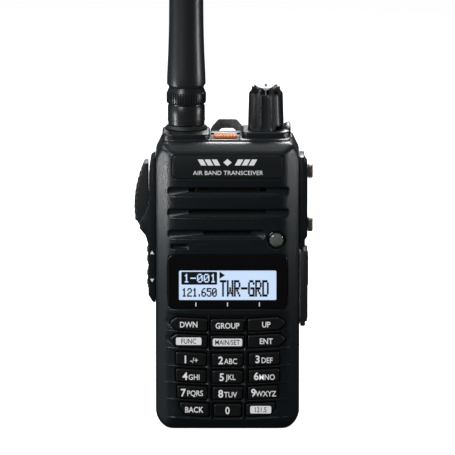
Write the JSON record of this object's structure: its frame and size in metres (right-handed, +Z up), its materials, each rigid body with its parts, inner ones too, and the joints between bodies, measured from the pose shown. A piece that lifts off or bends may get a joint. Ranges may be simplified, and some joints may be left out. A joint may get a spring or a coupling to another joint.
{
  "type": "handheld aviation radio",
  "caption": "Handheld airband radio with keypad, lit display, push-to-talk bar, screw-on antenna, volume knob, tip-out battery pack and sprung belt clip.",
  "frame": {"origin": "middle of the case's bottom face, on the surface the radio stands on", "axes": "+Z up along the case towards the antenna, front face towards -Y, +X to the right as seen from the front"},
  "size_m": [0.0646, 0.0387, 0.268],
  "materials": {
    "case_plastic": "fine-grained black moulded plastic",
    "chassis_paint": "satin black paint on a die-cast chassis",
    "plate_plastic": "smooth satin black name plate",
    "window_gloss": "glossy black window",
    "panel_glass": "lit pale blue display panel",
    "clear_lens": "clear status light lens",
    "rubber": "matt black rubber",
    "key_rubber": "satin black keys with pale legends",
    "knob_plastic": "satin black knob",
    "whip_rubber": "satin black flexible whip",
    "sleeve_plastic": "semi-gloss black sleeve",
    "latch_orange": "orange latch",
    "clip_grey": "pebbled mid-grey belt clip",
    "screw_bronze": "dull bronze ribbed screws",
    "steel": "plain steel",
    "brass": "plated brass",
    "mesh_cloth": "black speaker dust cloth",
    "circuit_board": "green circuit board",
    "cell_wrap": "blue wrapped cells"
  },
  "bodies": {
    "case": {"front_case": "case_plastic", "rear_chassis": "chassis_paint", "case_seal": "rubber", "top_cap": "case_plastic", "name_plate": "plate_plastic", "display_window": "window_gloss", "display_panel": "panel_glass", "status_lens": "clear_lens", "speaker": "steel", "speaker_mesh": "mesh_cloth", "microphone": "steel", "keypad_mat": "rubber", "keypad_board": "circuit_board", "main_board": "circuit_board", "antenna_socket": "brass", "volume_control": "steel", "side_frame": "case_plastic", "side_switches": "circuit_board", "jack_cover": "case_plastic", "jack_screws": "screw_bronze", "accessory_jack": "steel", "charge_jack": "window_gloss", "battery_contacts": "brass", "case_screws": "steel"},
    "key_down_cap": {"key_down": "key_rubber"},
    "key_group_cap": {"key_group": "key_rubber"},
    "key_up_cap": {"key_up": "key_rubber"},
    "key_func_cap": {"key_func": "key_rubber"},
    "key_main_cap": {"key_main": "key_rubber"},
    "key_ent_cap": {"key_ent": "key_rubber"},
    "key_1_cap": {"key_1": "key_rubber"},
    "key_2_cap": {"key_2": "key_rubber"},
    "key_3_cap": {"key_3": "key_rubber"},
    "key_4_cap": {"key_4": "key_rubber"},
    "key_5_cap": {"key_5": "key_rubber"},
    "key_6_cap": {"key_6": "key_rubber"},
    "key_7_cap": {"key_7": "key_rubber"},
    "key_8_cap": {"key_8": "key_rubber"},
    "key_9_cap": {"key_9": "key_rubber"},
    "key_back_cap": {"key_back": "key_rubber"},
    "key_0_cap": {"key_0": "key_rubber"},
    "key_guard_cap": {"key_guard": "key_rubber"},
    "ptt": {"ptt_button": "rubber"},
    "upper_key": {"side_key_upper": "rubber"},
    "lower_key": {"side_key_lower": "rubber"},
    "flap": {"charge_cover": "rubber"},
    "knob": {"volume_knob": "knob_plastic", "knob_shaft": "steel"},
    "seal_ring": {"antenna_gasket": "rubber"},
    "antenna": {"antenna_whip": "whip_rubber", "antenna_sleeve": "sleeve_plastic", "antenna_plug": "brass"},
    "latch": {"battery_latch": "latch_orange"},
    "battery": {"battery_case": "case_plastic", "battery_cells": "cell_wrap", "clip_bracket": "case_plastic", "clip_pin": "steel", "clip_spring": "steel", "clip_screws": "steel"},
    "clip": {"belt_clip": "clip_grey"}
  },
  "joints": [
    {"name": "key_down_press", "type": "slide", "parent": "case", "child": "key_down_cap", "axis": [0, 1, 0], "range_m": [0, 0.0008], "stiffness_N_per_m": 1500, "springref_m": -0.0002},
    {"name": "key_group_press", "type": "slide", "parent": "case", "child": "key_group_cap", "axis": [0, 1, 0], "range_m": [0, 0.0008], "stiffness_N_per_m": 1500, "springref_m": -0.0002},
    {"name": "key_up_press", "type": "slide", "parent": "case", "child": "key_up_cap", "axis": [0, 1, 0], "range_m": [0, 0.0008], "stiffness_N_per_m": 1500, "springref_m": -0.0002},
    {"name": "key_func_press", "type": "slide", "parent": "case", "child": "key_func_cap", "axis": [0, 1, 0], "range_m": [0, 0.0008], "stiffness_N_per_m": 1500, "springref_m": -0.0002},
    {"name": "key_main_press", "type": "slide", "parent": "case", "child": "key_main_cap", "axis": [0, 1, 0], "range_m": [0, 0.0008], "stiffness_N_per_m": 1500, "springref_m": -0.0002},
    {"name": "key_ent_press", "type": "slide", "parent": "case", "child": "key_ent_cap", "axis": [0, 1, 0], "range_m": [0, 0.0008], "stiffness_N_per_m": 1500, "springref_m": -0.0002},
    {"name": "key_1_press", "type": "slide", "parent": "case", "child": "key_1_cap", "axis": [0, 1, 0], "range_m": [0, 0.0008], "stiffness_N_per_m": 1500, "springref_m": -0.0002},
    {"name": "key_2_press", "type": "slide", "parent": "case", "child": "key_2_cap", "axis": [0, 1, 0], "range_m": [0, 0.0008], "stiffness_N_per_m": 1500, "springref_m": -0.0002},
    {"name": "key_3_press", "type": "slide", "parent": "case", "child": "key_3_cap", "axis": [0, 1, 0], "range_m": [0, 0.0008], "stiffness_N_per_m": 1500, "springref_m": -0.0002},
    {"name": "key_4_press", "type": "slide", "parent": "case", "child": "key_4_cap", "axis": [0, 1, 0], "range_m": [0, 0.0008], "stiffness_N_per_m": 1500, "springref_m": -0.0002},
    {"name": "key_5_press", "type": "slide", "parent": "case", "child": "key_5_cap", "axis": [0, 1, 0], "range_m": [0, 0.0008], "stiffness_N_per_m": 1500, "springref_m": -0.0002},
    {"name": "key_6_press", "type": "slide", "parent": "case", "child": "key_6_cap", "axis": [0, 1, 0], "range_m": [0, 0.0008], "stiffness_N_per_m": 1500, "springref_m": -0.0002},
    {"name": "key_7_press", "type": "slide", "parent": "case", "child": "key_7_cap", "axis": [0, 1, 0], "range_m": [0, 0.0008], "stiffness_N_per_m": 1500, "springref_m": -0.0002},
    {"name": "key_8_press", "type": "slide", "parent": "case", "child": "key_8_cap", "axis": [0, 1, 0], "range_m": [0, 0.0008], "stiffness_N_per_m": 1500, "springref_m": -0.0002},
    {"name": "key_9_press", "type": "slide", "parent": "case", "child": "key_9_cap", "axis": [0, 1, 0], "range_m": [0, 0.0008], "stiffness_N_per_m": 1500, "springref_m": -0.0002},
    {"name": "key_back_press", "type": "slide", "parent": "case", "child": "key_back_cap", "axis": [0, 1, 0], "range_m": [0, 0.0008], "stiffness_N_per_m": 1500, "springref_m": -0.0002},
    {"name": "key_0_press", "type": "slide", "parent": "case", "child": "key_0_cap", "axis": [0, 1, 0], "range_m": [0, 0.0008], "stiffness_N_per_m": 1500, "springref_m": -0.0002},
    {"name": "key_guard_press", "type": "slide", "parent": "case", "child": "key_guard_cap", "axis": [0, 1, 0], "range_m": [0, 0.0008], "stiffness_N_per_m": 1500, "springref_m": -0.0002},
    {"name": "ptt_press", "type": "slide", "parent": "case", "child": "ptt", "axis": [1, 0, 0], "range_m": [0, 0.0012], "stiffness_N_per_m": 2500, "springref_m": -0.0004},
    {"name": "upper_key_press", "type": "slide", "parent": "case", "child": "upper_key", "axis": [1, 0, 0], "range_m": [0, 0.0007], "stiffness_N_per_m": 1500, "springref_m": -0.0002},
    {"name": "lower_key_press", "type": "slide", "parent": "case", "child": "lower_key", "axis": [1, 0, 0], "range_m": [0, 0.0007], "stiffness_N_per_m": 1500, "springref_m": -0.0002},
    {"name": "flap_open", "type": "hinge", "parent": "case", "child": "flap", "pos_m": [0.0279, 0.0012, 0.051], "axis": [0, 0, 1], "range_deg": [0, 100]},
    {"name": "knob_turn", "type": "hinge", "parent": "case", "child": "knob", "pos_m": [0.0139, 0.0066, 0.11], "axis": [0, 0, 1], "range_deg": [-140, 140]},
    {"name": "antenna_unscrew", "type": "hinge", "parent": "seal_ring", "child": "antenna", "pos_m": [-0.0149, 0.0066, 0.11], "axis": [0, 0, 1], "range_deg": [0, 2160]},
    {"name": "antenna_lift", "type": "slide", "parent": "case", "child": "seal_ring", "axis": [0, 0, 1], "range_m": [0, 0.0042]},
    {"name": "latch_pull", "type": "slide", "parent": "case", "child": "latch", "axis": [0, -1, 0], "range_m": [0, 0.0025], "stiffness_N_per_m": 600, "springref_m": -0.0015},
    {"name": "battery_tip", "type": "hinge", "parent": "case", "child": "battery", "pos_m": [0, 0.008, 0.0048], "axis": [-1, 0, 0], "range_deg": [0, 10]},
    {"name": "clip_press", "type": "hinge", "parent": "battery", "child": "clip", "pos_m": [0, 0.0197, 0.078], "axis": [1, 0, 0], "range_deg": [0, 10], "stiffness_Nm_per_rad": 1.4, "springref_deg": -5.73}
  ],
  "couplings": [
    {"joint": "antenna_unscrew", "follows": "antenna_lift", "rad_per_m": 8900}
  ]
}
